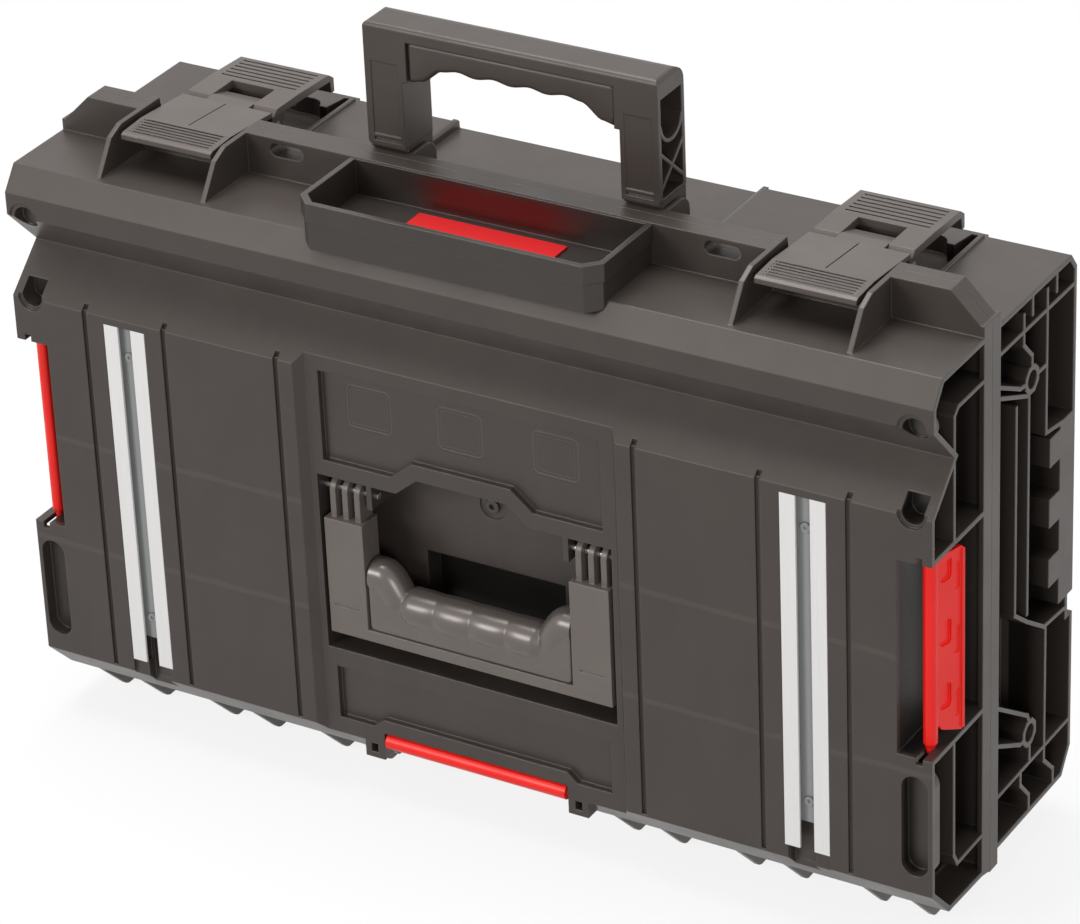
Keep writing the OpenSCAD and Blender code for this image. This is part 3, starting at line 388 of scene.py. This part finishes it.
def shellPlastic():
    # the case's own plastic: sink marks over the inner ribs and faint empty frames on the label field, both
    # with a painted highlight along their relief, and near-black painted shade inside the open pockets and
    # the finger slot
    g = Finish("shellPlastic")
    base, rough, rounded = mouldedSkin(g, shellLook)
    lines = sinkLines(g)
    frames = emptyFrames(g)
    # sink marks painted paler, a painted highlight along their dents
    base = g.mix(lines * 0.22, base, tone(*shellLook["pale"]))
    # frame lines painted paler, a painted highlight along the raised lines
    base = g.mix(frames * 0.30, base, tone(*shellLook["pale"]))
    # near-black painted shade inside the open pockets and the finger slot
    base = g.mix(paintedPocketShade(g).most(paintedSlotShade(g)) * 0.9, base, tone(*shellLook["pocket"]))
    bump = g.relief(lines, sinkMarks["depth"] / 1000, 0.5, g.grain(rounded))
    bump = g.relief(frames, labelFrames["depth"] / 1000, 0.8, bump)
    return g.finish(base, rough, bump, shine=shellLook["shine"])


# middle, half and softness of the strip's painted red reflection on the tray's rear wall, along the case and
# up
trayPaintedReflection = {"across": (-4.0, 30.0, 28.0), "up": (325, 6.0, 8.0), "wall": 60}


def trayPlastic():
    # plastic with a painted reflection of the red strip on its rear wall, strongest in its middle
    g = Finish("trayPlastic")
    base, rough, rounded = mouldedSkin(g, trayLook)
    middle, half, soft = trayPaintedReflection["across"]
    paintedReflection = g.x.band(middle / 1000, half / 1000, soft / 1000) * g.y.band(atY(trayPaintedReflection["wall"]), 0.0012, 0.001)
    middle, half, soft = trayPaintedReflection["up"]
    paintedReflection = paintedReflection * g.z.band(atZ(middle), half / 1000, soft / 1000)
    # painted red reflection of the strip mixed into the wall's colour
    base = g.mix(paintedReflection * 0.75, base, tone(*trayLook["paintedReflection"]))
    return g.finish(base, rough, g.grain(rounded), shine=trayLook["shine"])


railLook = {"strip": (242, 240, 239), "stripDark": (230, 228, 227), "slot": (150, 151, 152),
            "slotDepth": (2.4, 3.6), "round": 0.0004, "rough": 0.42}


def railMetal():
    # drawn aluminium: faint lines along the rail, a darker slot floor
    g = Finish("railAluminium")
    lines = g.noise(0.0010, 2.0, (1, 1, 0.015))
    base = g.mix(lines.rise(0.2, 0.8) * 0.5, tone(*railLook["strip"]), tone(*railLook["stripDark"]))
    deep = g.y.rise(atY(railLook["slotDepth"][0]), atY(railLook["slotDepth"][1]))
    base = g.mix(deep, base, tone(*railLook["slot"]))
    bump = g.relief(lines, 0.00001, 0.15, g.rounded(railLook["round"]))
    return g.finish(base, railLook["rough"] + lines * 0.08, bump)


pinLook = {"bright": (206, 206, 208), "dull": (160, 160, 162),
           "round": 0.0003, "rough": 0.28, "metallic": 0.9}
screwLook = {"bright": (150, 151, 152), "dull": (128, 129, 130),
             "round": 0.0003, "rough": 0.5, "metallic": 0.3}


def turnedSteel(name, look):
    # turned steel: lines round the pin
    g = Finish(name)
    turned = g.noise(0.0008, 3.0, (1, 0.05, 0.05))
    base = g.mix(turned.rise(0.3, 0.7), tone(*look["dull"]), tone(*look["bright"]))
    bump = g.relief(turned, 0.00002, 0.2, g.rounded(look["round"]))
    return g.finish(base, look["rough"] + turned * 0.1, bump, metallic=look["metallic"])


finishes = {
    "shell": shellPlastic(),
    "tray": trayPlastic(),
    "carry": mouldedPlastic("carryPlastic", shellLook),
    "latch": latchPlastic(),
    "handle": mouldedPlastic("handlePlastic", handleLook),
    "grip": mouldedPlastic("gripPlastic", gripLook, 0.0003, 0.00001),
    "red": mouldedPlastic("redPlastic", redLook),
    "strip": mouldedPlastic("stripRed", stripLook),
    "rail": railMetal(),
    "steel": turnedSteel("pinSteel", pinLook),
    "screw": turnedSteel("screwSteel", screwLook),
}
coats = {
    "base_shell": "shell", "lid_shell": "shell", "tray": "tray", "tray_strip": "strip",
    "rail_left": "rail", "rail_right": "rail", "rail_screws": "screw",
    "carry_handle": "carry", "carry_grip": "carry", "carry_pins": "steel",
    "latch_lever_left": "latch", "latch_lever_right": "latch",
    "latch_clip_left": "latch", "latch_clip_right": "latch",
    "latch_pins": "steel", "clip_pin_left": "steel", "clip_pin_right": "steel",
    "lid_handle": "handle", "lid_grip": "grip", "lid_handle_pins": "steel",
    "connector_left": "red", "connector_right": "red", "connector_rear": "red", "hinge_pins": "steel",
}
for name, node in nodes.items():
    node.data.materials.clear()
    node.data.materials.append(finishes[coats[name]])
print("finishes on", len(nodes), "nodes")


def ease(t):
    # 0 before 0, 1 after 1, and 3 t squared less 2 t cubed between
    t = np.clip(t, 0, 1)
    return t * t * (3 - 2 * t)


def ringFaces(rings, around, start):
    # quads between neighbouring rings, and one face over each end ring
    i = np.arange(rings - 1)[:, None] * around
    k = np.arange(around)[None, :]
    n = (k + 1) % around
    quads = np.stack([i + k, i + n, i + around + n, i + around + k], -1).reshape(-1, 4) + start
    ends = [list(range(start + around - 1, start - 1, -1)),
            list(range(start + (rings - 1) * around, start + rings * around))]
    return quads.tolist() + ends


def ringPiece(name, parts, finish, body, standsFor):
    # one mesh out of closed stacks of rings, given in millimetres
    points, faces, start = [], [], 0
    for rings in parts:
        points.append(metres(rings).reshape(-1, 3))
        faces += ringFaces(rings.shape[0], rings.shape[1], start)
        start += len(points[-1])
    mesh = bpy.data.meshes.new(name)
    mesh.from_pydata(np.concatenate(points).tolist(), [], faces)
    work = bmesh.new()
    work.from_mesh(mesh)
    bmesh.ops.recalc_face_normals(work, faces=work.faces)
    work.to_mesh(mesh)
    work.free()
    mesh.polygons.foreach_set("use_smooth", np.ones(len(mesh.polygons), bool))
    mesh.set_sharp_from_angle(angle=math.radians(50))
    mesh.materials.append(finishes[finish])
    piece = bpy.data.objects.new(name, mesh)
    bpy.context.scene.collection.objects.link(piece)
    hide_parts(standsFor)
    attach(piece, body)
    print(name, "made:", len(mesh.vertices), "points")


def roundedSlab(outline, front, back, radius, steps=6):
    # an outline in (x, z) carried from front to back: near each end it draws in along its own normals
    # by radius (1 - cos a) while y moves radius (1 - sin a), so that both rims are quarter rounds
    before = outline - np.roll(outline, 1, 0)
    after = np.roll(outline, -1, 0) - outline
    before = before / np.linalg.norm(before, axis=1)[:, None]
    after = after / np.linalg.norm(after, axis=1)[:, None]
    normal = np.stack([before[:, 1] + after[:, 1], -before[:, 0] - after[:, 0]], 1)
    normal = normal / (1 + np.sum(before * after, axis=1))[:, None]
    area = np.sum(outline[:, 0] * np.roll(outline[:, 1], -1) - np.roll(outline[:, 0], -1) * outline[:, 1])
    inward = -normal if area > 0 else normal
    a = np.linspace(0, math.pi / 2, steps)
    inset = np.concatenate([radius * (1 - np.sin(a)), radius * (1 - np.sin(a[::-1]))])
    y = np.concatenate([front + radius * (1 - np.cos(a)), back - radius * (1 - np.cos(a[::-1]))])
    flat = outline[None, :, :] + inward[None, :, :] * inset[:, None, None]
    return np.stack([flat[..., 0], np.broadcast_to(y[:, None], flat.shape[:2]), flat[..., 1]], -1)


# middle is the bar's (y, z); plate is the plate's lower edge, front and back; frontAt and seamAt are degrees
lidGrip = {"reach": 66.0, "middle": (16.0, 85.8), "radius": 11.8, "rise": 16.0, "bend": (46.0, 60.0),
           "neck": 1.6, "lobe": 23.5, "lobeDepth": 1.5, "frontAt": 40.0, "seamAt": 26.0, "seamWide": 0.07,
           "seamHeight": 0.35, "plate": (69.0, 6.6, 21.4), "plateRound": 1.4, "corner": 3.0, "around": 120,
           "along": 240}


def barHeight(look, x):
    # z of the bar's middle: level in the centre, an eased step up to each leg
    start, end = look["bend"]
    return look["middle"][1] + look["rise"] * ease((np.abs(x) - start) / (end - start))


def lidGripRings(look):
    # a round bar along x whose middle rises by an eased step to each leg; its radius loses depth times
    # (1 - |sin(pi x / lobe)|) most at the lower front, so that the finger lobes meet in valleys,
    # and a fine ridge runs along the mould's parting line
    x = np.linspace(-look["reach"], look["reach"], look["along"])
    lean = np.arctan((barHeight(look, x + 0.1) - barHeight(look, x - 0.1)) / 0.2)
    k = np.linspace(0, 2 * math.pi, look["around"], endpoint=False)
    valley = (1 - np.abs(np.sin(math.pi * x / look["lobe"]))) ** 1.4
    valley = valley * (1 - ease((np.abs(x) - look["bend"][0] - 2) / 6))
    low = 0.5 - 0.5 * np.cos(k - math.radians(look["frontAt"]))
    seam = np.exp(-((k - math.radians(look["seamAt"])) / look["seamWide"]) ** 2)
    radius = (look["radius"] - look["neck"] * ease((np.abs(x) - look["bend"][0] + 6) / 8))[:, None]
    radius = radius - look["lobeDepth"] * valley[:, None] * (0.25 + 0.75 * low[None, :])
    radius = radius + look["seamHeight"] * seam[None, :]
    up, back = radius * np.cos(k)[None, :], radius * np.sin(k)[None, :]
    return np.stack([x[:, None] - up * np.sin(lean)[:, None], look["middle"][0] + back,
                     barHeight(look, x)[:, None] + up * np.cos(lean)[:, None]], -1)


def lidGripPlate(look):
    # the plate under the bar: a flat outline whose top edge follows the bar's middle, hidden inside it
    low, front, back = look["plate"]
    x = np.linspace(-look["reach"], look["reach"], 60)
    turn = np.linspace(0, math.pi / 2, 6)
    corner = look["corner"]
    right = np.stack([look["reach"] - corner * (1 - np.cos(turn)), low + corner * (1 - np.sin(turn))], 1)
    left = right[::-1] * (-1, 1)
    outline = np.concatenate([np.stack([x, barHeight(look, x)], 1), right, left])
    return roundedSlab(outline, front, back, look["plateRound"])


lidGripParts = [lidGripRings(lidGrip), lidGripPlate(lidGrip)]
ringPiece("lidGripSoft", lidGripParts, "grip", "lid_handle", "lid_grip")

# waveTop is the waves' mean depth below top, drop how far the lower edge eases down to each foot
carryGrip = {"half": 65.2, "top": 405.6, "low": 381.1, "front": 76.8, "back": 103.4, "waveHalf": 45.0,
             "waves": 4, "waveTop": 13.6, "waveDepth": 0.9, "foot": 58.0, "drop": 10.0, "corner": 2.5,
             "round": 2.4}


def carryGripRings(look):
    # the grip let into the carry handle: its lower edge lies at z = top - 13.6 - 0.9 cos(2 pi 4 x / 90)
    # and eases down at both ends
    x = np.linspace(look["foot"], -look["foot"], 160)
    wave = np.cos(2 * math.pi * look["waves"] * x / (2 * look["waveHalf"]))
    low = look["top"] - look["waveTop"] - look["waveDepth"] * wave
    low = low - look["drop"] * ease((np.abs(x) - look["waveHalf"] + 1) / (look["foot"] - look["waveHalf"]))
    turn = np.linspace(0, math.pi / 2, 5)
    bend = look["corner"]
    corner = np.stack([look["half"] - bend * (1 - np.sin(turn)), look["top"] - bend * (1 - np.cos(turn))], 1)
    side = np.array([[look["half"], look["low"] + 6], [look["half"] - 0.4, look["low"]]])
    right = np.concatenate([corner, side])
    left = right[::-1] * (-1, 1)
    outline = np.concatenate([right, np.stack([x, low], 1), left])
    return roundedSlab(outline, look["front"], look["back"], look["round"])


ringPiece("carryGripSoft", [carryGripRings(carryGrip)], "carry", "carry_handle", "carry_grip")
